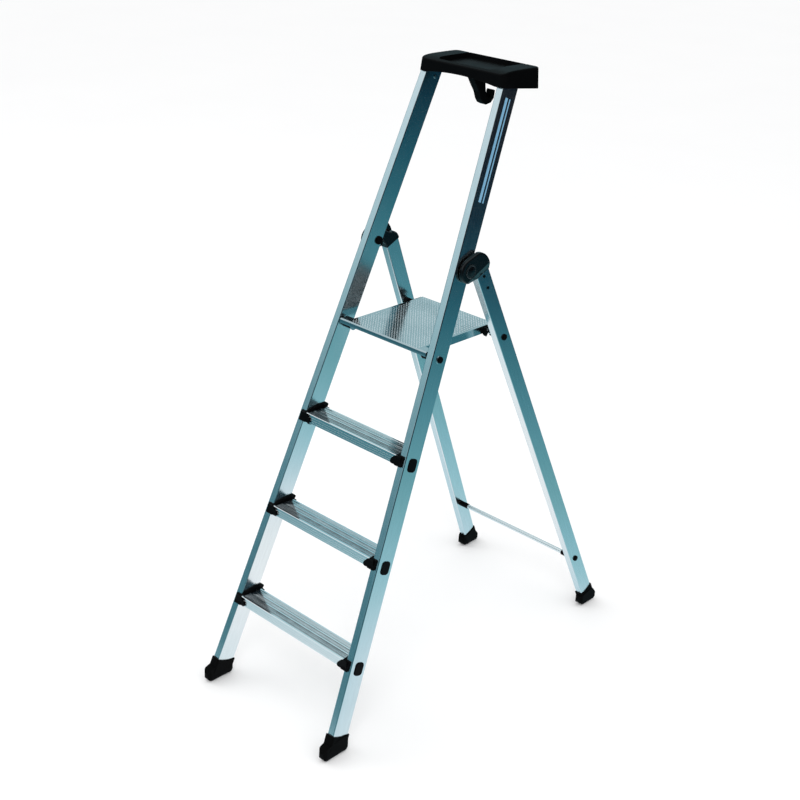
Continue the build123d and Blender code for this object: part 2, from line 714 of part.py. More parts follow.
with BuildPart() as top_tray:
    with BuildSketch(Plane.XY.offset(1530)):
        with Locations((0, TRAY_MID)):
            RectangleRounded(2 * TRAY_HALF + 4, TRAY_DEPTH + 3, TRAY_CORNER)
    with BuildSketch(Plane.XY.offset(1590)):
        with Locations((0, TRAY_MID + 1)):
            RectangleRounded(2 * TRAY_HALF - 6, TRAY_DEPTH - 2, TRAY_CORNER)
    loft()
    with BuildSketch(side(-200)):
        with BuildLine():
            Spline(*TRAY_CROWN)
            Polyline(TRAY_CROWN[-1], *TRAY_HEM, TRAY_CROWN[0])
        make_face()
    extrude(amount=400, mode=Mode.INTERSECT)
    fillet(faces().sort_by(Axis.Z)[-1].edges(), 4.5)
    # underside cavity
    with BuildSketch(Plane.XY.offset(CAVITY_FROM_Z)):
        with Locations((0, TRAY_MID)):
            RectangleRounded(2 * TRAY_HALF - 2.6, TRAY_DEPTH - 4.5, 5)
    extrude(
        amount=TRAY_FLOOR_Z - TRAY_WALL - CAVITY_FROM_Z, taper=4, mode=Mode.SUBTRACT
    )
    # recess on top
    with BuildSketch(Plane.XY.offset(TRAY_FLOOR_Z)):
        with Locations((0, TRAY_MID + 2)):
            RectangleRounded(RECESS_WIDTH, RECESS_DEPTH, RECESS_CORNER)
    extrude(amount=20, taper=-8, mode=Mode.SUBTRACT)
    # arched front skirt
    with BuildSketch(front(TRAY_FRONT + 8)):
        with Locations((0, ARCH_TOP_Z - ARCH_RADIUS)):
            Circle(ARCH_RADIUS)
    extrude(amount=30, mode=Mode.SUBTRACT)
    # two grooves across the rear rim
    with Locations(
        (RIM_GROOVE_X, TRAY_REAR, TRAY_TOP + 1), (-RIM_GROOVE_X, TRAY_REAR, TRAY_TOP + 1)
    ):
        Box(5.5, 26, 6, mode=Mode.SUBTRACT)
    # lugs down into the stiles
    with BuildSketch(STILE.offset(stile_up(LUG_LOW_Z, 0))):
        RectangleRounded(
            STILE_WIDTH - 2 * STILE_WALL - LUG_FIT,
            STILE_DEPTH - 2 * STILE_WALL - LUG_FIT,
            1.5,
        )
    lug = extrude(amount=LUG_LENGTH)
    mirror(lug, about=Plane.YZ)
    with BuildSketch(STILE_IN.offset(-1)):
        with Locations(TRAY_RIVET_SPOT):
            Circle(2.35)
    rivet_hole = extrude(amount=9, mode=Mode.SUBTRACT)
    mirror(rivet_hole, about=Plane.YZ, mode=Mode.SUBTRACT)
save("top_tray", top_tray.part)

# Rivets with their heads on the stiles' inner faces.
with BuildPart() as tray_rivets:
    with BuildSketch(STILE_IN.offset(-SNUG)):
        with Locations(TRAY_RIVET_SPOT):
            Circle(4.6)
    extrude(amount=-1.8)
    fillet(edges_facing(faces(), STILE_IN.z_dir * -1), 1.1)
    with BuildSketch(STILE_IN.offset(-0.5)):
        with Locations(TRAY_RIVET_SPOT):
            Circle(2.3)
    extrude(amount=7)
    mirror(about=Plane.YZ)
save("tray_rivets", tray_rivets.part)

# --------------------------------------------------------------- bucket hook
# Hook under the tray, for a bucket or a bag, curling up to the rear.
HOOK_HALF = 10
HOOK_ROOT_Z = TRAY_FLOOR_Z - TRAY_WALL - RUN
HOOK_TIP_HEIGHTS = (1508, 1511)
HOOK_OUTLINE = [  # (y from the stile's foot, z)
    (630, HOOK_ROOT_Z),
    (630, 1546),
    (641, 1530),
    (656, 1510),
    (664, 1492),
    (672, 1482),
    (686, 1476),
    (704, 1479),
    (714, 1489),
    (717, 1508),
    (707, 1511),
    (704, 1497),
    (697, 1491),
    (688, 1493),
    (683, 1504),
    (679, 1522),
    (677, 1540),
    (677, HOOK_ROOT_Z),
]

with BuildPart() as bucket_hook:
    with BuildSketch(side(-HOOK_HALF)):
        with BuildLine():
            Polyline(*shifted(HOOK_OUTLINE, FOOT_Y, 0), close=True)
        make_face()
        # the bends first, then the two corners of the tip
        fillet(
            vertices().filter_by(
                lambda v: 1470 < v.Y < 1550 and v.Y not in HOOK_TIP_HEIGHTS
            ),
            4.0,
        )
        fillet(
            vertices().filter_by(lambda v: v.X > FOOT_Y + 705 and 1506 < v.Y < 1512), 3.0
        )
    extrude(amount=2 * HOOK_HALF)
    chamfer(
        faces().filter_by(Axis.X).edges().filter_by(lambda e: e.center().Z < 1545), 1.2
    )
save("bucket_hook", bucket_hook.part)

# --------------------------------------------------------------- stile label
# Plain striped decal on the right stile.
LABEL_LOW, LABEL_HIGH = 1290.0, 1520.0
LABEL_STRIPES = ((-6, 9), (7, 4))  # (centre across the stile, width)

with BuildPart() as stile_label:
    with BuildSketch(STILE_OUT.offset(SNUG)):
        with Locations((0, stile_up((LABEL_LOW + LABEL_HIGH) / 2, 0))):
            for stripe_across, stripe_width in LABEL_STRIPES:
                with Locations((stripe_across, 0)):
                    Rectangle(stripe_width, (LABEL_HIGH - LABEL_LOW) / FRONT_COS)
    extrude(amount=0.25)
save("stile_label", stile_label.part)


# ================================================================= rear frame
with BuildPart() as rear_leg:
    add(LEG_SOLID)
    add(LEG_CORE, mode=Mode.SUBTRACT)
    split(bisect_by=Plane.XY.offset(TUBE_FOOT_Z), keep=Keep.TOP)
    # platform rod, brace bolt, knuckle rivets
    with Locations(bore_at(ROD_Y, ROD_Z)):
        Hole(ROD_RADIUS + RUN, depth=BORE_FROM)
    with Locations(bore_at(BRACE_Y, BRACE_Z)):
        Hole(BRACE_BOLT_RADIUS + RUN, depth=BORE_FROM)
    with BuildSketch(LEG_OUT.offset(1)):
        with Locations(*KNUCKLE_RIVET_SPOTS):
            Circle(RIVET_BORE)
    extrude(amount=-4, mode=Mode.SUBTRACT)
save_pair("rear_leg", rear_leg.part)

# ------------------------------------------------------------- hinge knuckle
# A cheek outside the stile, a cap over the top of the leg that bears on the
# back of the stile when the ladder is open, and a tongue that goes down
# inside the leg.
OPEN_ANGLE = radians(FRONT_LEAN + REAR_LEAN)
# Back of the stile from the hinge axis, square to the stile, with clearance
STOP_REACH = STILE_DEPTH - (PIVOT_Y - stile_y(PIVOT_Z)) * FRONT_COS + 0.06


def stop_at(down):
    """Across-leg position of the stop face at a distance down the leg."""
    return (STOP_REACH - sin(OPEN_ANGLE) * down) / cos(OPEN_ANGLE)


DISC_RADIUS = 31.0  # cheek round the hinge
CAP_FOOT = 41.0  # lower edge of the cap, down the leg
CAP_INNER_X = 135.6
CAP_FRONT = 20.3  # front of the cap's foot, across the leg
CAP_SIDE = [  # (across the leg, down the leg) from the hinge axis
    (stop_at(0.4), 0.4),
    (14.4, 8.0),
    (14.4, 18.0),
    (CAP_FRONT, 30.0),
    (CAP_FRONT, CAP_FOOT),
    (65.5, CAP_FOOT),
    (67.0, CAP_FOOT - 2.5),
    (66.6, 31.0),
    (64.0, 22.5),
    (59.0, 15.5),
    (52.0, 10.5),
    (45.0, 8.0),
    (39.5, 3.0),
    (34.5, -5.0),
    (stop_at(-10.0), -10.0),
]
CHEEK_OUTER = CHEEK_X + CHEEK_THICK
CHEEK_CUT = [  # (x, down the leg), taken off the lower part of the cheek
    (CHEEK_OUTER + 2, 16.0),
    (CHEEK_OUTER, 20.0),
    (CHEEK_X + 1.6, CAP_FOOT - 2.0),
    (CHEEK_X + 1.6, 60.0),
    (CHEEK_OUTER + 2, 60.0),
]
TONGUE_DOWN, KNUCKLE_TONGUE_LENGTH, KNUCKLE_TONGUE_FIT = 95.0, 72.0, 0.2
COUNTERBORE_RADIUS, COUNTERBORE_X = 12.0, CHEEK_X + 5.0


def disc_point(angle):
    """Point on the edge of the cheek's disc, angle in degrees."""
    return hinge_point(
        DISC_RADIUS * cos(radians(angle)), DISC_RADIUS * sin(radians(angle))
    )


DISC_START = hinge_point(-10.7, 29.1)
DISC_END = disc_point(-82.5)
LOBE_START, LOBE_END = hinge_point(40.0, -26.0), hinge_point(67.5, 24.0)

with BuildPart() as hinge_knuckle:
    # cheek: a disc round the hinge, drawn out into a rounded lobe over the leg
    with BuildSketch(side(CHEEK_X)):
        with BuildLine():
            ThreePointArc(DISC_START, disc_point(194), DISC_END)
            Line(DISC_END, LOBE_START)
            ThreePointArc(LOBE_START, hinge_point(61.8, -5.4), LOBE_END)
            Polyline(
                LOBE_END,
                hinge_point(67.0, CAP_FOOT),
                hinge_point(CAP_FRONT, CAP_FOOT),
                DISC_START,
            )
        make_face()
    extrude(amount=CHEEK_THICK)
    fillet(faces().filter_by(Axis.X).sort_by(Axis.X)[-1].edges(), 4.0)
    # lower part of the cheek's outer face slopes in to the leg
    with BuildSketch(
        Plane(
            origin=(0, PIVOT_Y, PIVOT_Z), x_dir=(1, 0, 0), z_dir=(0, REAR_COS, REAR_SIN)
        )
    ):
        with BuildLine():
            Polyline(*CHEEK_CUT, close=True)
        make_face()
    extrude(amount=120, both=True, mode=Mode.SUBTRACT)
    # cap over the leg top
    with BuildSketch(side(CAP_INNER_X)):
        with BuildLine():
            Polyline(*[hinge_point(*point) for point in CAP_SIDE], close=True)
        make_face()
    extrude(amount=CHEEK_X + 1.4 - CAP_INNER_X)
    # soften the inner edges of the cap
    chamfer(faces().filter_by(Axis.X).sort_by(Axis.X)[0].edges(), 1.6)
    # seat for the leg, then the tongue inside it
    add(LEG_SOLID, mode=Mode.SUBTRACT)
    with BuildSketch(LEG.offset(LEG_PIVOT - TONGUE_DOWN)):
        RectangleRounded(
            LEG_WIDTH - 2 * LEG_WALL - KNUCKLE_TONGUE_FIT,
            LEG_DEPTH - 2 * LEG_WALL - KNUCKLE_TONGUE_FIT,
            1.3,
        )
    extrude(amount=KNUCKLE_TONGUE_LENGTH)
    with BuildSketch(LEG_OUT.offset(1)):
        with Locations(*KNUCKLE_RIVET_SPOTS):
            Circle(RIVET_BORE)
    extrude(amount=-9, mode=Mode.SUBTRACT)
    # pivot bore and counterbore for the nut
    with Locations(bore_at(PIVOT_Y, PIVOT_Z)):
        Hole(PIN_RADIUS + RUN, depth=BORE_FROM)
    with Locations(along_x(COUNTERBORE_X, PIVOT_Y, PIVOT_Z)):
        Cylinder(COUNTERBORE_RADIUS, 20, align=FROM_BASE, mode=Mode.SUBTRACT)
save_pair("hinge_knuckle", hinge_knuckle.part)

# Domed cover over each hinge nut, with a raised ring round it.
HINGE_CAP_PROFILE = [  # (x from the cheek's outer face, radius)
    (-0.8, 0.0),
    (-0.8, 11.8),
    (0.05, 11.8),
    (0.05, 17.2),
    (1.6, 17.2),
    (2.5, 16.2),
    (2.5, 14.2),
    (1.9, 13.4),
    (2.6, 7.5),
    (3.1, 3.5),
    (3.2, 0.0),
]

with BuildPart() as hinge_caps:
    with BuildSketch(Plane.XZ.offset(-PIVOT_Y)):
        with BuildLine():
            Polyline(*shifted(HINGE_CAP_PROFILE, CHEEK_OUTER, PIVOT_Z), close=True)
        make_face()
    revolve(axis=Axis((0, PIVOT_Y, PIVOT_Z), (1, 0, 0)))
    mirror(about=Plane.YZ)
save("hinge_caps", hinge_caps.part)

with BuildPart() as knuckle_rivets:
    with BuildSketch(LEG_OUT.offset(SNUG)):
        with Locations(*KNUCKLE_RIVET_SPOTS):
            Circle(4.2)
    extrude(amount=1.6)
    fillet(edges_facing(faces(), LEG_OUT.z_dir), 1.0)
    with BuildSketch(LEG_OUT.offset(0.5)):
        with Locations(*KNUCKLE_RIVET_SPOTS):
            Circle(KNUCKLE_RIVET_RADIUS)
    extrude(amount=-8.0)
    mirror(about=Plane.YZ)
save("knuckle_rivets", knuckle_rivets.part)

# -------------------------------------------------------- platform rear rod
# Rod the platform rests on, with collars inside the legs and caps outside.
ROD_HALF = leg_x(ROD_Z) + 1.0
COLLAR_X, COLLAR_RADIUS, COLLAR_LENGTH = 138.0, 9.5, 22.0
END_CAP_X, END_CAP_RADIUS, END_CAP_PROUD = 160.0, 8.2, 4.2

with BuildPart() as platform_rear_rod:
    with Locations(along_x(-ROD_HALF, ROD_Y, ROD_Z)):
        Cylinder(ROD_RADIUS, 2 * ROD_HALF, align=FROM_BASE)
save("platform_rear_rod", platform_rear_rod.part)

with BuildPart() as rod_collars:
    with Locations(along_x(COLLAR_X, ROD_Y, ROD_Z)):
        Cylinder(COLLAR_RADIUS, COLLAR_LENGTH, align=FROM_BASE)
    fillet(faces().sort_by(Axis.X)[0].edges(), 1.5)
    add(LEG_SOLID, mode=Mode.SUBTRACT)
    with Locations(bore_at(ROD_Y, ROD_Z)):
        Hole(ROD_RADIUS + SNUG, depth=BORE_FROM)
    mirror(about=Plane.YZ)
save("rod_collars", rod_collars.part)

with BuildPart() as rod_end_caps:
    with Locations(along_x(END_CAP_X, ROD_Y, ROD_Z)):
        Cylinder(
            END_CAP_RADIUS, leg_x(ROD_Z) + END_CAP_PROUD - END_CAP_X, align=FROM_BASE
        )
    fillet(faces().sort_by(Axis.X)[-1].edges(), 2.4)
    add(LEG_SOLID, mode=Mode.SUBTRACT)
    with Locations(along_x(0, ROD_Y, ROD_Z)):
        Cylinder(
            ROD_RADIUS + SNUG, ROD_HALF + RUN, align=FROM_BASE, mode=Mode.SUBTRACT
        )
    mirror(about=Plane.YZ)
save("rod_end_caps", rod_end_caps.part)

# ---------------------------------------------------------------- rear brace
# Tube between the legs near the floor, bushed and bolted at each end.
BRACE_BUSH_X, BRACE_BUSH_RADIUS, BRACE_BUSH_LENGTH = 179.0, 8.0, 34.0
BRACE_HEAD_X, BRACE_HEAD_RADIUS, BRACE_HEAD_PROUD = 215.0, 8.0, 4.4
BRACE_SHANK_X = BRACE_HALF + 1.0
BRACE_POCKET_X = 170.0

with BuildPart() as rear_brace:
    with Locations(along_x(-BRACE_HALF, BRACE_Y, BRACE_Z)):
        Cylinder(BRACE_RADIUS, 2 * BRACE_HALF, align=FROM_BASE)
        Cylinder(
            BRACE_RADIUS - BRACE_WALL,
            2 * BRACE_HALF,
            align=FROM_BASE,
            mode=Mode.SUBTRACT,
        )
save("rear_brace", rear_brace.part)

with BuildPart() as brace_bushes:
    with Locations(along_x(BRACE_BUSH_X, BRACE_Y, BRACE_Z)):
        Cylinder(BRACE_BUSH_RADIUS, BRACE_BUSH_LENGTH, align=FROM_BASE)
    fillet(faces().sort_by(Axis.X)[0].edges(), 1.5)
    add(LEG_SOLID, mode=Mode.SUBTRACT)
    # pocket for the end of the tube
    with Locations(along_x(BRACE_POCKET_X, BRACE_Y, BRACE_Z)):
        Cylinder(
            BRACE_RADIUS + SNUG,
            BRACE_HALF + SNUG - BRACE_POCKET_X,
            align=FROM_BASE,
            mode=Mode.SUBTRACT,
        )
    with Locations(bore_at(BRACE_Y, BRACE_Z)):
        Hole(BRACE_BOLT_RADIUS + SNUG, depth=BORE_FROM)
    mirror(about=Plane.YZ)
save("brace_bushes", brace_bushes.part)

with BuildPart() as brace_bolts:
    with Locations(along_x(BRACE_HEAD_X, BRACE_Y, BRACE_Z)):
        Cylinder(
            BRACE_HEAD_RADIUS,
            leg_x(BRACE_Z) + BRACE_HEAD_PROUD - BRACE_HEAD_X,
            align=FROM_BASE,
        )
    fillet(faces().sort_by(Axis.X)[-1].edges(), 2.6)
    add(LEG_SOLID, mode=Mode.SUBTRACT)
    with Locations(along_x(BRACE_SHANK_X, BRACE_Y, BRACE_Z)):
        Cylinder(BRACE_BOLT_RADIUS, leg_x(BRACE_Z) + 2 - BRACE_SHANK_X, align=FROM_BASE)
    mirror(about=Plane.YZ)
save("brace_bolts", brace_bolts.part)


# =================================================================== platform
# Outer and inner faces of the rolled nosing: (y from the deck front, z from its top)
NOSING_OUTER = shifted(
    [(0.8, -12.0), (0.0, -8.0), (1.2, -2.5), (5.0, 0.0)], DECK_FRONT, DECK_Z
)
NOSING_INNER = shifted(
    [(5.7, -DECK_THICK), (2.9, -3.9), (2.0, -8.0), (2.8, -12.0)], DECK_FRONT, DECK_Z
)
# Turned-down rear edge: (y from the deck rear, z from its top)
DECK_REAR_EDGE = shifted(
    [
        (-3.0, 0.0),
        (0.0, -3.0),
        (0.0, -15.0),
        (-DECK_THICK, -15.0),
        (-DECK_THICK, -3.6),
        (-3.6, -DECK_THICK),
    ],
    DECK_REAR,
    DECK_Z,
)
NOSING_REAR_EDGE = shifted([(27.0, 0.0), (27.0, -DECK_THICK)], DECK_FRONT, DECK_Z)
SKIRT_OUTLINE = shifted(
    [(6.0, -1.0), (3.0, -5.0), (3.0, -10.0), (14.0, -DECK_SKIRT)], DECK_FRONT, DECK_Z
) + shifted(
    [(-4.0, -DECK_SKIRT), (-1.0, -17.0), (-1.0, -4.0), (-4.0, -1.0)], DECK_REAR, DECK_Z
)
ROD_CLEARANCE = [(-12.0, -12.0), (-9.0, 7.5), (8.0, 7.5), (8.0, -12.0)]  # from the rod
HOOK_RIVET_SPOTS = [(ROD_Y - 13.0, DECK_Z - 9.0), (ROD_Y + 14.0, DECK_Z - 9.0)]
HOOK_RIVET_RADIUS = 2.0

with BuildPart() as platform:
    # top sheet with a rolled front nosing and a turned-down rear edge
    with BuildSketch(side(-DECK_HALF)):
        with BuildLine():
            Polyline(*NOSING_OUTER, *DECK_REAR_EDGE, *NOSING_INNER, close=True)
        make_face()
        fillet(vertices().sort_by(Axis.Y)[-6:-2], 0.6)
    extrude(amount=2 * DECK_HALF)
    # the nosing runs on past the skirts, almost to the stiles
    with BuildSketch(side(-NOSING_HALF)):
        with BuildLine():
            Polyline(*NOSING_OUTER, *NOSING_REAR_EDGE, *NOSING_INNER, close=True)
        make_face()
    extrude(amount=2 * NOSING_HALF)
    # side skirts
    with BuildSketch(side(DECK_HALF - DECK_THICK)):
        with BuildLine():
            Polyline(*SKIRT_OUTLINE, close=True)
        make_face()
        with Locations((DECK_PIVOT_Y, DECK_PIVOT_Z)):
            Circle(12.0)
        # clearance round the rear rod
        with BuildLine():
            Polyline(*shifted(ROD_CLEARANCE, ROD_Y, ROD_Z), close=True)
        make_face(mode=Mode.SUBTRACT)
    skirt_plate = extrude(amount=DECK_THICK)
    mirror(skirt_plate, about=Plane.YZ)
    # pivot and hook rivet holes, through both skirts
    with Locations(bore_at(DECK_PIVOT_Y, DECK_PIVOT_Z)):
        Hole(PIN_RADIUS + RUN, depth=2 * BORE_FROM)
    with Locations(*[bore_at(*spot) for spot in HOOK_RIVET_SPOTS]):
        Hole(HOOK_RIVET_RADIUS + RUN, depth=2 * BORE_FROM)
save("platform", platform.part)

# Hook plate outside each skirt: its slot drops over the rear rod and opens
# down and forwards, the way the rod leaves it.
HOOK_PLATE_THICK = 7.2
HOOK_PLATE_OUTLINE = [  # (y from the rod, z from the deck top)
    (-22.0, -3.0),
    (20.0, -3.0),
    (19.0, -22.0),
    (13.0, -32.0),
    (6.5, -32.0),
    (5.2, -20.5),
    (-5.2, -15.5),
    (-13.5, -29.0),
    (-21.0, -22.0),
]
HOOK_SLOT = [  # (y, z) from the rod's axis
    (4.68, -1.93),
    (5.05, -60.0),
    (-60.0, -60.0),
    (-14.0, -12.0),
    (-4.55, 2.2),
]

with BuildPart() as platform_hook:
    with BuildSketch(side(DECK_HALF + RUN)):
        with BuildLine():
            Polyline(*shifted(HOOK_PLATE_OUTLINE, ROD_Y, DECK_Z), close=True)
        make_face()
        fillet(vertices().sort_by(Axis.Y)[:3], 2.0)
        with Locations((ROD_Y, ROD_Z)):
            Circle(ROD_RADIUS + RUN, mode=Mode.SUBTRACT)
        with BuildLine():
            Polyline(*shifted(HOOK_SLOT, ROD_Y, ROD_Z), close=True)
        make_face(mode=Mode.SUBTRACT)
        with Locations(*HOOK_RIVET_SPOTS):
            Circle(HOOK_RIVET_RADIUS + RUN, mode=Mode.SUBTRACT)
    extrude(amount=HOOK_PLATE_THICK)
save_pair("platform_hook", platform_hook.part)

# Rivets with one head outside the hook plate and one inside the skirt.
HOOK_RIVET_HEAD = 3.6
OUTER_HEAD_X = DECK_HALF + RUN + HOOK_PLATE_THICK + RUN
INNER_HEAD_X = DECK_HALF - DECK_THICK - 1.2

with BuildPart() as platform_hook_rivets:
    for rivet_y, rivet_z in HOOK_RIVET_SPOTS:
        with Locations(along_x(OUTER_HEAD_X, rivet_y, rivet_z)):
            Cylinder(HOOK_RIVET_HEAD, 1.0, align=FROM_BASE)
        with Locations(along_x(INNER_HEAD_X, rivet_y, rivet_z)):
            Cylinder(HOOK_RIVET_RADIUS, 11.0, align=FROM_BASE)
            Cylinder(HOOK_RIVET_HEAD, 1.15, align=FROM_BASE)
    mirror(about=Plane.YZ)
save("platform_hook_rivets", platform_hook_rivets.part)
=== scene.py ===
"""A step ladder: two splayed aluminium stiles with three treads and a platform,
two rear legs and black mouldings.

It stands on the floor at z = 0. The front faces -y, the right side is +x, and the
stiles lean back and the rear legs lean forward as they rise. Units are metres.
"""
import math
import random

import bpy
from mathutils import Matrix, Vector


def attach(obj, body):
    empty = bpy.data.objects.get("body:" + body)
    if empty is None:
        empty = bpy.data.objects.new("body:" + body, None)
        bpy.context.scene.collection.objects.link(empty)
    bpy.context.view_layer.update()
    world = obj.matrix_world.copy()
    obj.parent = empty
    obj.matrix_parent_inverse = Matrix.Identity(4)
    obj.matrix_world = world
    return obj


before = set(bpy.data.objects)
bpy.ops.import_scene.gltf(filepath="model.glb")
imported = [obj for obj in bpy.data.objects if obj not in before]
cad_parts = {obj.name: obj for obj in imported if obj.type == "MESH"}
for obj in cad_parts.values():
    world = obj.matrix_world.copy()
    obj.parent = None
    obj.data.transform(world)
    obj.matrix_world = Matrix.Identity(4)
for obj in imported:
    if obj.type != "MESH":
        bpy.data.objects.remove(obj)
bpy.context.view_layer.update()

scene = bpy.context.scene
random.seed(7)

MM = 0.001

FRONT_Y = -0.5492  # where the stiles' front faces meet the floor
STILE_RAKE = math.tan(math.radians(21.1))  # run in y per metre of height
LEG_RAKE = -math.tan(math.radians(25.5))
STILE_SPLAY = 0.065  # run in x per metre of height
LEG_SPLAY = 0.072
TREAD_RISE = 0.24
NOSE_OVERHANG = 0.007  # tread's front edge, ahead of the stiles' front faces


# ------------------------------------------------------------ node helpers
class Graph:
    """Writes a shader node tree. All helpers but add() return an output socket."""

    def __init__(self, tree, output_kind):
        self.tree = tree
        tree.nodes.clear()
        self.output = self.add(output_kind)

    def add(self, kind, inputs=None, **props):
        """Make a node; inputs maps a socket's name or index to a socket or a value."""
        node = self.tree.nodes.new("ShaderNode" + kind)
        for key, value in props.items():
            setattr(node, key, value)
        for key, value in (inputs or {}).items():
            if isinstance(value, bpy.types.NodeSocket):
                self.tree.links.new(value, node.inputs[key])
            else:
                node.inputs[key].default_value = value
        return node

    def finish(self, shader):
        self.tree.links.new(shader.outputs[0], self.output.inputs[0])

    def math(self, operation, *values, clamp=False):
        inputs = dict(enumerate(values))
        return self.add("Math", inputs, operation=operation, use_clamp=clamp).outputs[0]

    def times(self, value, gain, clamp=False):
        return self.math("MULTIPLY", value, gain, clamp=clamp)

    def times_plus(self, value, gain, plus, clamp=False):
        return self.math("MULTIPLY_ADD", value, gain, plus, clamp=clamp)

    def vector(self, operation, *vectors):
        node = self.add("VectorMath", dict(enumerate(vectors)), operation=operation)
        scalar = operation in ("DOT_PRODUCT", "LENGTH")
        return node.outputs["Value" if scalar else "Vector"]

    def horizontal(self, vector):
        return self.vector("MULTIPLY", vector, (1.0, 1.0, 0.0))

    def separate(self, vector):
        return self.add("SeparateXYZ", {0: vector}).outputs

    def ramp(self, factor, stops):
        """stops: (position, grey level or colour), in rising order."""
        node = self.add("ValToRGB", {0: factor})
        elements = node.color_ramp.elements
        elements.remove(elements[-1])
        elements[0].position = stops[0][0]
        for position, _ in stops[1:]:
            elements.new(position)
        for element, (_, color) in zip(elements, stops):
            if isinstance(color, float):
                color = (color, color, color)
            element.color = (*color, 1.0)
        return node.outputs[0]

    def signed_mask(self, value, start, end):
        """Bring -1..1 to 0..1, then rise from 0 at start to 1 at end."""
        unit = self.times_plus(value, gain=0.5, plus=0.5)
        return self.ramp(unit, [(start, 0.0), (end, 1.0)])

    def noise(self, vector, scale, detail, rough, distort=0.0):
        inputs = {
            "Vector": vector,
            "Scale": scale,
            "Detail": detail,
            "Roughness": rough,
            "Distortion": distort,
        }
        return self.add("TexNoise", inputs).outputs[0]

    def mapping(self, vector, scale=(1, 1, 1), rotation=(0, 0, 0)):
        inputs = {"Vector": vector, "Scale": scale, "Rotation": rotation}
        return self.add("Mapping", inputs).outputs[0]

    def object_coordinates(self):
        return self.add("TexCoord").outputs["Object"]

    def mix(self, factor, first, second):
        """Mix two colours, each a socket or an (r, g, b) tuple."""
        first, second = (
            (*color, 1.0) if isinstance(color, tuple) else color for color in (first, second)
        )
        node = self.add("Mix", data_type="RGBA", inputs={0: factor, 6: first, 7: second})
        return node.outputs[2]

    def edge_wear_and_painted_light(self, color, edge, amount, radius, gain):
        """Blend the edge colour in along convex edges: rubbed wear on most materials, a painted
        highlight on the gloss plastic and a painted dark reflection on the stiles and legs.
        """
        normal = self.add("NewGeometry").outputs["Normal"]
        rounded = self.add("Bevel", {"Radius": radius}, samples=4).outputs[0]
        alike = self.vector("DOT_PRODUCT", rounded, normal)
        edge_weight = self.times(self.math("SUBTRACT", 1.0, alike), gain, clamp=True)
        return self.mix(self.times(edge_weight, amount), color, edge)

    def bump(self, height, strength, distance):
        inputs = {"Strength": strength, "Distance": distance, "Height": height}
        return self.add("Bump", inputs).outputs[0]

    def principled(self, color, rough, normal, **others):
        """End the material in a Principled shader; others are further inputs."""
        inputs = {"Base Color": color, "Roughness": rough, "Normal": normal, **others}
        self.finish(self.add("BsdfPrincipled", inputs))


def srgb(*channels):
    """Linear colour from 8-bit sRGB."""

    def linear(c):
        c /= 255.0
        return c / 12.92 if c <= 0.04045 else ((c + 0.055) / 1.055) ** 2.4

    return tuple(linear(c) for c in channels)


def srgb_stops(table):
    """Ramp stops from rows of position and 8-bit sRGB red, green, blue."""
    return [(position, srgb(*color)) for position, *color in table]


def toned(color, gain, lift=0.0):
    return tuple(min(1.0, c * gain + lift) for c in color)


def material(name):
    made = bpy.data.materials.new(name)
    made.use_nodes = True
    return made, Graph(made.node_tree, "OutputMaterial")


# ---------------------------------------------------------------- materials
# painted dark reflection in the tread's channels, in mm back from the nosing: (from, to, how
# much)
SHADED_CHANNELS = (
    (6.5, 10.0, 1.0), (11.0, 12.5, 0.9), (14.0, 15.5, 0.85), (16.5, 19.0, 0.9),
    (20.0, 23.0, 1.0), (27.5, 30.5, 0.9), (31.5, 33.0, 0.6), (34.5, 36.0, 0.6),
    (37.5, 40.0, 0.85), (44.5, 47.0, 0.7), (48.5, 50.0, 0.35), (51.5, 53.0, 0.3),
    (54.5, 57.5, 0.4),
)
SHADE_MARGIN = 0.4 * MM  # the painted reflection spreads this far past each side of a channel
CHANNEL_SHADE_COLOR = (0.02, 0.06, 0.075)


def painted_channel_shade(g, nose, smudge):
    """Patchy mask of painted dark reflection over the channels behind a tread's front edge at y
    = nose.
    """
    y = g.separate(g.add("NewGeometry").outputs["Position"])[1]
    shade = None
    for start, end, depth in SHADED_CHANNELS:
        middle = nose + (start + end) / 2 * MM
        half = (end - start) / 2 * MM + SHADE_MARGIN
        band = g.times(g.math("COMPARE", y, middle, half), depth)
        shade = band if shade is None else g.math("MAXIMUM", shade, band)
    patchy = g.times_plus(smudge, gain=0.4, plus=0.72)
    return g.math("MULTIPLY", shade, patchy, clamp=True)


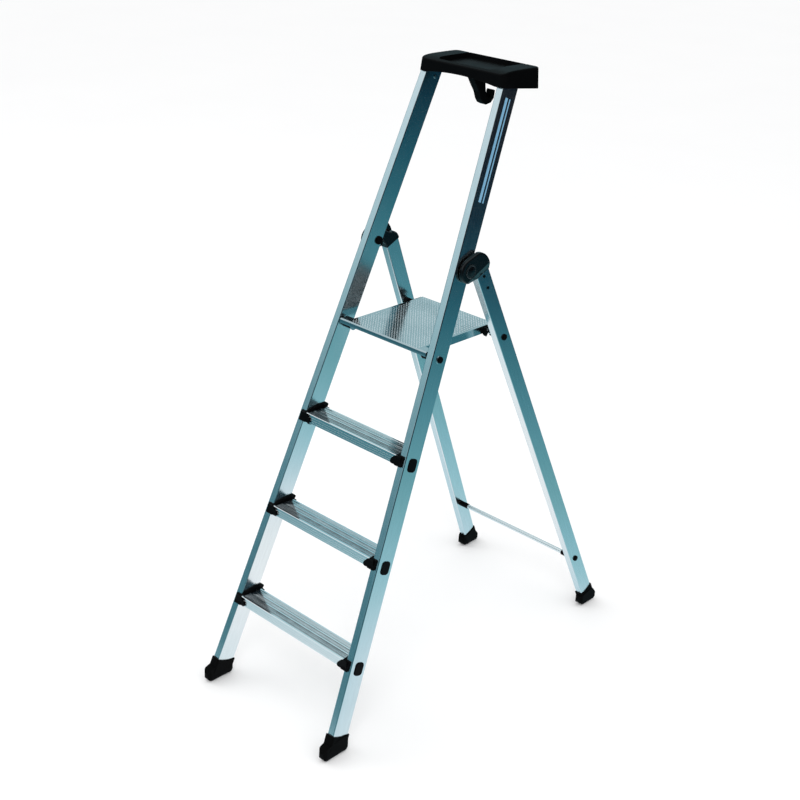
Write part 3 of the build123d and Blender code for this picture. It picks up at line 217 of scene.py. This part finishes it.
def drawn_aluminium(
    name,
    axis,
    tint=(0.86, 0.90, 0.91),
    rough=0.2,
    streak=1.0,
    nose=None,
    relief=0.04,
    edge=(0.96, 0.97, 0.97),
    edge_mix=0.35,
):
    """Bright extruded aluminium. axis is the direction of the drawing lines.

    nose, if given, is the y of a tread's front edge, and darkens its channels with a painted
    dark reflection.
    """
    made, g = material(name)
    place = g.object_coordinates()
    # coordinates whose z runs along the extrusion
    along = Vector(axis).normalized()
    turn = along.to_track_quat("Z", "Y").inverted().to_euler()
    turned = g.mapping(place, rotation=tuple(turn))
    fine = g.noise(g.mapping(turned, scale=(900, 900, 2.5)), scale=1.0, detail=4.0, rough=0.6)
    broad = g.noise(g.mapping(turned, scale=(230, 230, 1.1)), scale=1.0, detail=3.0, rough=0.5)
    flecks = g.noise(g.mapping(turned, scale=(420, 420, 26)), scale=1.0, detail=3.0, rough=0.65)
    cloud = g.noise(place, scale=7.0, detail=5.0, rough=0.6)
    smudge = g.noise(place, scale=34.0, detail=4.0, rough=0.65, distort=0.4)

    color = g.mix(fine, toned(tint, gain=0.84), tint)
    if nose is not None:
        # painted dark reflection darkens the tread's channels
        color = g.mix(painted_channel_shade(g, nose, smudge), color, CHANNEL_SHADE_COLOR)
    color = g.mix(g.ramp(flecks, [(0.36, 0.0), (0.66, 0.42)]), color, toned(tint, gain=1.1))
    color = g.mix(g.times(cloud, gain=0.35), color, toned(tint, gain=1.06))
    # convex edges take the edge colour; on the stiles and legs it is a painted dark reflection
    color = g.edge_wear_and_painted_light(color, edge, amount=edge_mix, radius=0.0016, gain=4.0)

    roughness = g.times_plus(fine, gain=0.10 * streak, plus=rough - 0.05 * streak)
    roughness = g.times_plus(smudge, gain=0.10, plus=roughness)
    roughness = g.times_plus(cloud, gain=0.08, plus=roughness)
    noise_offset = 0.09  # takes out the average the smudge and cloud add
    roughness = g.math("SUBTRACT", roughness, noise_offset, clamp=True)

    height = g.times_plus(broad, gain=0.8, plus=fine)
    height = g.times_plus(flecks, gain=0.5, plus=height)
    normal = g.bump(height, strength=relief * streak, distance=0.0006)
    tangent = g.add("CombineXYZ", dict(enumerate(along))).outputs[0]
    g.principled(color, roughness, normal, Metallic=1.0, Anisotropic=0.35, Tangent=tangent)
    return made


def plastic(
    name,
    base=(0.0012, 0.0012, 0.0014),
    rough=0.42,
    grain=1.0,
    rim_wear_and_highlight=0.35,
    shine=0.05,
    ior=1.46,
    rim=(0.02, 0.021, 0.023),
):
    """Black moulded plastic with a fine spark grain and paler edges: rubbed wear by default,
    painted edge highlights where the rim colour is bright.
    """
    made, g = material(name)
    place = g.object_coordinates()
    cell_inputs = {"Vector": place, "Scale": 1500.0, "Randomness": 1.0}
    cells = g.add("TexVoronoi", cell_inputs).outputs[0]
    fine = g.noise(place, scale=900.0, detail=3.0, rough=0.6)
    cloud = g.noise(place, scale=16.0, detail=4.0, rough=0.6)
    dust = g.noise(place, scale=140.0, detail=5.0, rough=0.7)

    dust_threshold = 0.66
    speck = g.times(g.math("GREATER_THAN", dust, dust_threshold), gain=0.25)
    color = g.mix(cloud, base, toned(base, gain=1.9, lift=0.0008))
    color = g.mix(speck, color, toned(base, gain=3, lift=0.004))
    # paler edges: rubbed wear with the default rim, painted highlights with the gloss rim
    color = g.edge_wear_and_painted_light(color, rim, amount=rim_wear_and_highlight, radius=0.0012, gain=3.0)

    roughness = g.times_plus(cloud, gain=0.16, plus=rough - 0.08)
    roughness = g.times_plus(fine, gain=0.10 * grain, plus=roughness, clamp=True)
    height = g.times_plus(cells, gain=0.7, plus=fine)
    normal = g.bump(height, strength=0.18 * grain, distance=0.00025)
    g.principled(color, roughness, normal, **{"IOR": ior, "Specular IOR Level": shine})
    return made


def steel(name, tint=(0.72, 0.73, 0.74), rough=0.26):
    made, g = material(name)
    place = g.object_coordinates()
    fine = g.noise(place, scale=420.0, detail=4.0, rough=0.6)
    cloud = g.noise(place, scale=30.0, detail=3.0, rough=0.5)
    color = g.mix(cloud, toned(tint, gain=0.8), tint)
    color = g.edge_wear_and_painted_light(color, (0.95, 0.95, 0.95), amount=0.5, radius=0.0006, gain=3.0)
    roughness = g.times_plus(fine, gain=0.14, plus=rough - 0.05)
    normal = g.bump(fine, strength=0.08, distance=0.0003)
    g.principled(color, roughness, normal, Metallic=1.0)
    return made


def decal(name):
    """Pale blue label."""
    made, g = material(name)
    place = g.object_coordinates()
    cloud = g.noise(place, scale=60.0, detail=4.0, rough=0.6)
    fine = g.noise(place, scale=700.0, detail=2.0, rough=0.6)
    color = g.mix(cloud, srgb(96, 152, 186), srgb(122, 172, 201))
    color = g.edge_wear_and_painted_light(color, srgb(170, 200, 215), amount=0.4, radius=0.0008, gain=3.0)
    roughness = g.times_plus(fine, gain=0.2, plus=0.34)
    normal = g.bump(fine, strength=0.05, distance=0.0002)
    g.principled(color, roughness, normal)
    return made


def tube(name, splay, rake):
    """Stile or leg; its corners carry a painted dark reflection of the dark side of the room.
    """
    return drawn_aluminium(name, (splay, rake, 1.0), edge=(0.06, 0.10, 0.125), edge_mix=0.8)


def tread(number):
    return drawn_aluminium(
        f"aluminium_tread_{number}",
        ACROSS,
        tint=(0.97, 0.995, 1.0),
        rough=0.11,
        streak=0.6,
        relief=0.014,
        nose=FRONT_Y + TREAD_RISE * number * STILE_RAKE - NOSE_OVERHANG,
    )


ACROSS = (1, 0, 0)

MATERIALS = {
    "stile_right": tube("aluminium_stile_right", -STILE_SPLAY, STILE_RAKE),
    "stile_left": tube("aluminium_stile_left", STILE_SPLAY, STILE_RAKE),
    "leg_right": tube("aluminium_leg_right", -LEG_SPLAY, LEG_RAKE),
    "leg_left": tube("aluminium_leg_left", LEG_SPLAY, LEG_RAKE),
    **{f"tread_{number}": tread(number) for number in (1, 2, 3)},
    "deck": drawn_aluminium(
        "aluminium_deck", ACROSS, tint=(0.50, 0.60, 0.63), rough=0.17, streak=0.5
    ),
    "deck_worn": drawn_aluminium(
        "aluminium_lozenges", ACROSS, tint=(0.98, 0.995, 1.0), rough=0.15, streak=0.5
    ),
    "brace": drawn_aluminium("aluminium_brace", ACROSS, rough=0.24),
    "black": plastic("black_moulding"),
    # its pale rim paints bright edge highlights
    "gloss": plastic(
        "black_gloss",
        rough=0.14,
        grain=0.2,
        rim_wear_and_highlight=0.8,
        shine=0.42,
        ior=1.5,
        rim=(0.13, 0.17, 0.185),
    ),
    "rubber": plastic(
        "black_rubber", base=(0.0012, 0.0012, 0.0012), rough=0.55, grain=1.6, shine=0.04
    ),
    "dark_steel": steel("blackened_steel", tint=(0.035, 0.038, 0.042), rough=0.34),
    "steel": steel("zinc_steel"),
    "bright_steel": steel("bright_washer", tint=(0.95, 0.96, 0.97), rough=0.2),
    "decal": decal("striped_decal"),
}

# CAD piece: material; every other piece is black moulding
PIECE_MATERIALS = {
    "stile_left": "stile_left", "stile_right": "stile_right",
    "rear_leg_left": "leg_left", "rear_leg_right": "leg_right",
    "tread_1": "tread_1", "tread_2": "tread_2", "tread_3": "tread_3",
    "platform": "deck", "rear_brace": "brace",
    "front_shoe_left": "rubber", "front_shoe_right": "rubber",
    "rear_shoe_left": "rubber", "rear_shoe_right": "rubber",
    "hinge_knuckle_left": "gloss", "hinge_knuckle_right": "gloss", "hinge_caps": "gloss",
    "stile_label": "decal", "hinge_nuts": "steel",
    "platform_washers": "bright_steel", "platform_nuts": "steel",
    "tray_rivets": "steel", "knuckle_rivets": "dark_steel",
    "platform_rear_rod": "steel", "platform_hook_rivets": "steel",
}

for piece_name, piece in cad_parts.items():
    piece.data.materials.clear()
    piece.data.materials.append(MATERIALS[PIECE_MATERIALS.get(piece_name, "black")])


# ---------------------------------------------- raised pattern on the platform
DECK_TOP = 0.955
PATTERN_HALF_WIDTH = 0.113
PATTERN_FRONT, PATTERN_BACK = FRONT_Y + 0.374, FRONT_Y + 0.641
PITCH_X, PITCH_Y = 0.0082, 0.0046
LOZENGE_HALF_LENGTH, LOZENGE_HALF_DEPTH = 0.0031, 0.00155
LOZENGE_HEIGHT = 0.0005
LOZENGE_SINK = 0.0002  # how far the base lies below the deck
LOZENGE_SKEW = 0.0007  # y offset of the two long tips
LOZENGE_TOP_SCALE = 0.5
LOZENGE_JITTER = 0.0003


def add_lozenge(verts, faces, x, y, half_length, skew):
    """A low frustum on a four-cornered base."""
    first = len(verts)
    corners = (
        (-half_length, -skew),
        (0.0, -LOZENGE_HALF_DEPTH),
        (half_length, skew),
        (0.0, LOZENGE_HALF_DEPTH),
    )
    for scale, z in (
        (1.0, DECK_TOP - LOZENGE_SINK),
        (LOZENGE_TOP_SCALE, DECK_TOP + LOZENGE_HEIGHT),
    ):
        verts.extend((x + dx * scale, y + dy * scale, z) for dx, dy in corners)
    faces.append(tuple(range(first + 4, first + 8)))
    for k in range(4):
        following = (k + 1) % 4
        faces.append((first + k, first + following, first + 4 + following, first + 4 + k))


def deck_pattern():
    """Staggered rows of small raised lozenges."""
    verts, faces = [], []
    rows = int((PATTERN_BACK - PATTERN_FRONT) / PITCH_Y)
    columns = int(2 * PATTERN_HALF_WIDTH / PITCH_X)
    for j in range(rows + 1):
        y = PATTERN_FRONT + j * PITCH_Y
        shift = 0.5 * PITCH_X * (j % 2)
        skew = LOZENGE_SKEW if j % 2 else -LOZENGE_SKEW
        for i in range(columns + 1):
            x = -PATTERN_HALF_WIDTH + i * PITCH_X + shift
            x += random.uniform(-LOZENGE_JITTER, LOZENGE_JITTER)
            if abs(x) > PATTERN_HALF_WIDTH:
                continue
            half_length = LOZENGE_HALF_LENGTH + random.uniform(-LOZENGE_JITTER, LOZENGE_JITTER)
            add_lozenge(verts, faces, x, y, half_length, skew)
    mesh = bpy.data.meshes.new("platform_lozenges")
    mesh.from_pydata(verts, [], faces)
    mesh.validate()
    mesh.update()
    made = bpy.data.objects.new("platform_lozenges", mesh)
    scene.collection.objects.link(made)
    mesh.materials.append(MATERIALS["deck_worn"])
    return made


pattern = deck_pattern()
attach(pattern, "platform_deck")

# ------------------------------------------------------------------- floor
# What the metal mirrors: a bright floor that falls away into cool shade.
# (distance from the origin / FLOOR_RAMP_SPAN, sRGB red, green, blue)
FLOOR_RAMP_SPAN = 10.0
FLOOR_AROUND = (
    (0.000, 252, 254, 255), (0.034, 238, 244, 248), (0.052, 196, 222, 232),
    (0.075, 158, 204, 214), (0.100, 138, 190, 202), (0.125, 118, 174, 182),
    (0.165, 98, 158, 168), (0.210, 84, 144, 158), (0.260, 66, 128, 140),
    (0.315, 47, 110, 124), (0.380, 24, 90, 108), (0.440, 16, 70, 88),
    (0.520, 8, 36, 50), (0.620, 4, 22, 42), (0.740, 3, 12, 22), (0.900, 16, 22, 30),
)
FLOOR_FRONT_LEFT = (
    (0.000, 252, 254, 255), (0.034, 240, 246, 250), (0.060, 222, 236, 242),
    (0.090, 150, 190, 200), (0.130, 86, 136, 148), (0.200, 66, 118, 130),
    (0.400, 58, 115, 127), (0.900, 62, 112, 126),
)
FRONT_LEFT = (-0.64, -0.77, 0.0)


def floor_material():
    """Pale and matt to the eye, glowing with the mirrored tones to glossy rays."""
    made, g = material("pale_floor")
    glossy_ray = g.add("LightPath").outputs["Is Glossy Ray"]
    position = g.add("NewGeometry").outputs["Position"]
    flat = g.horizontal(position)
    distance = g.vector("LENGTH", flat)
    around, front_left = (
        g.ramp(g.math("DIVIDE", distance, FLOOR_RAMP_SPAN), srgb_stops(table))
        for table in (FLOOR_AROUND, FLOOR_FRONT_LEFT)
    )
    toward = g.vector("DOT_PRODUCT", g.vector("NORMALIZE", flat), FRONT_LEFT)
    mirrored = g.mix(g.signed_mask(toward, start=0.5, end=0.8), around, front_left)
    tone = g.noise(position, scale=1.3, detail=4.0, rough=0.6)
    base = g.mix(tone, (0.93, 0.933, 0.936), (0.955, 0.957, 0.96))
    matt = g.add("BsdfDiffuse", {"Color": base}).outputs[0]
    glow = g.add("Emission", {"Color": mirrored, "Strength": 1.0}).outputs[0]
    factor = g.math("MAXIMUM", glossy_ray, 0.0)
    g.finish(g.add("MixShader", {0: factor, 1: matt, 2: glow}))
    return made


bpy.ops.mesh.primitive_plane_add(size=60, location=(0, 0, 0))
floor = bpy.context.object
floor.name = "floor"
floor.data.materials.append(floor_material())

# ------------------------------------------------------------------- world
# Reflections: a dim room seen differently in each quarter, bright overhead.
# (height, 0 at the horizon and 1 overhead, sRGB red, green, blue)
QUARTERS = {
    "front_left": (
        (0.00, 60, 112, 124), (0.07, 74, 124, 138), (0.12, 95, 142, 155),
        (0.16, 112, 158, 168), (0.20, 146, 184, 192), (0.24, 164, 200, 208),
        (0.30, 196, 222, 232), (0.36, 212, 228, 234), (0.50, 228, 236, 240),
        (1.00, 240, 244, 246),
    ),
    "rear_left": (
        (0.00, 60, 108, 122), (0.18, 96, 146, 160), (0.28, 176, 206, 212),
        (0.36, 206, 226, 230), (0.44, 160, 200, 208), (0.50, 122, 176, 190),
        (0.60, 190, 216, 222), (1.00, 236, 242, 244),
    ),
    "rear_right": (
        (0.00, 26, 34, 42), (0.10, 8, 14, 20), (0.48, 2, 6, 10),
        (0.62, 20, 62, 78), (0.80, 150, 190, 200), (1.00, 236, 242, 244),
    ),
    "front_right": (
        (0.00, 8, 38, 50), (0.30, 4, 24, 36), (0.60, 4, 26, 38),
        (0.75, 70, 116, 130), (0.90, 190, 214, 222), (1.00, 236, 242, 244),
    ),
}


def studio_world():
    """Plain white light, with the room shown to glossy rays only."""
    world = bpy.data.worlds.new("studio")
    scene.world = world
    world.use_nodes = True
    g = Graph(world.node_tree, "OutputWorld")
    glossy_ray = g.add("LightPath").outputs["Is Glossy Ray"]
    direction = g.add("TexCoord").outputs["Generated"]
    height = g.math("MAXIMUM", g.separate(direction)[2], 0.0)
    quarter = {
        place: g.ramp(height, srgb_stops(table)) for place, table in QUARTERS.items()
    }
    level = g.separate(g.vector("NORMALIZE", g.horizontal(direction)))
    rightward, rearward = (g.signed_mask(level[i], start=0.38, end=0.62) for i in (0, 1))
    front = g.mix(rightward, quarter["front_left"], quarter["front_right"])
    rear = g.mix(rightward, quarter["rear_left"], quarter["rear_right"])
    room = g.mix(rearward, front, rear)
    plain = g.add("Background", {"Color": (1, 1, 1, 1), "Strength": 1.02}).outputs[0]
    shiny = g.add("Background", {"Color": room, "Strength": 1.0}).outputs[0]
    g.finish(g.add("MixShader", {0: glossy_ray, 1: plain, 2: shiny}))


studio_world()

# ------------------------------------------------------------------ lights
LIGHT_TARGET = Vector((0, 0, 0.8))


def area_light(name, location, size, power):
    """Square light aimed at the ladder and kept out of reflections."""
    data = bpy.data.lights.new(name, "AREA")
    data.shape = "RECTANGLE"
    data.size = data.size_y = size
    data.energy = power
    light = bpy.data.objects.new(name, data)
    scene.collection.objects.link(light)
    light.location = location
    light.rotation_mode = "QUATERNION"
    light.rotation_quaternion = (LIGHT_TARGET - Vector(location)).to_track_quat("-Z", "Y")
    light.visible_glossy = False


area_light("key", location=(2.6, -3.4, 4.6), size=2.4, power=60)
area_light("fill", location=(-4.0, -2.0, 3.6), size=3.0, power=30)

# ------------------------------------------------------------------- camera
AZIMUTH = math.radians(41.907)  # from the front towards the right
ELEVATION = math.radians(24.424)
ROLL = math.radians(3.307)
CAMERA_TARGET = Vector((-0.145827, 0.610484 + FRONT_Y, 0.654789))
CAMERA_DISTANCE = 3.590162


def add_camera():
    back = Vector(
        (
            math.sin(AZIMUTH) * math.cos(ELEVATION),
            -math.cos(AZIMUTH) * math.cos(ELEVATION),
            math.sin(ELEVATION),
        )
    )
    level_right = (-back).cross(Vector((0, 0, 1))).normalized()
    level_up = level_right.cross(-back)
    right = level_right * math.cos(ROLL) + level_up * math.sin(ROLL)
    up = -level_right * math.sin(ROLL) + level_up * math.cos(ROLL)
    data = bpy.data.cameras.new("camera")
    data.sensor_width = 36
    data.lens = 59.64435
    data.shift_x = -0.000305
    data.shift_y = 0.00143125
    data.clip_start, data.clip_end = 0.05, 100
    camera = bpy.data.objects.new("camera", data)
    scene.collection.objects.link(camera)
    turn = Matrix((right, up, back)).transposed().to_4x4()
    camera.matrix_world = Matrix.Translation(CAMERA_TARGET + back * CAMERA_DISTANCE) @ turn
    scene.camera = camera


add_camera()

scene.view_settings.view_transform = "Standard"
scene.view_settings.look = "None"
scene.view_settings.exposure = 0.0
scene.view_settings.gamma = 1.0
